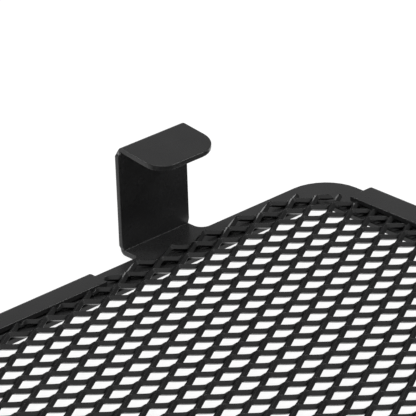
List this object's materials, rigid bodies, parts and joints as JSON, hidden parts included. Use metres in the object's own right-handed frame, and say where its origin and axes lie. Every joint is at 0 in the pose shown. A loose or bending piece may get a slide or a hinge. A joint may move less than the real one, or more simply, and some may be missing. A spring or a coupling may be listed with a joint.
{
  "type": "radiator guard",
  "caption": "Folded steel radiator guard: a flat hemmed border clamps raised expanded-metal mesh, with bent hooks on one long edge and joggled bolt ears on the other.",
  "frame": {"origin": "middle of the guard's footprint, on the outer face of the border that it rests on", "axes": "+X along the long edges, +Y towards the hooked edge, +Z from the outer face towards the radiator"},
  "size_m": [0.3324, 0.231, 0.032],
  "materials": {
    "frame_coat": "semi-gloss black powder coat",
    "mesh_coat": "semi-gloss black powder coat",
    "rubber": "matte black rubber",
    "zinc_steel": "zinc plated",
    "bolt_steel": "stainless steel"
  },
  "bodies": {
    "root": {"frame": "frame_coat", "mesh": "mesh_coat", "grommet_left": "rubber", "collar_left": "zinc_steel", "washer_left": "zinc_steel", "bolt_left": "bolt_steel", "grommet_right": "rubber", "collar_right": "zinc_steel", "washer_right": "zinc_steel", "bolt_right": "bolt_steel"}
  },
  "joints": []
}
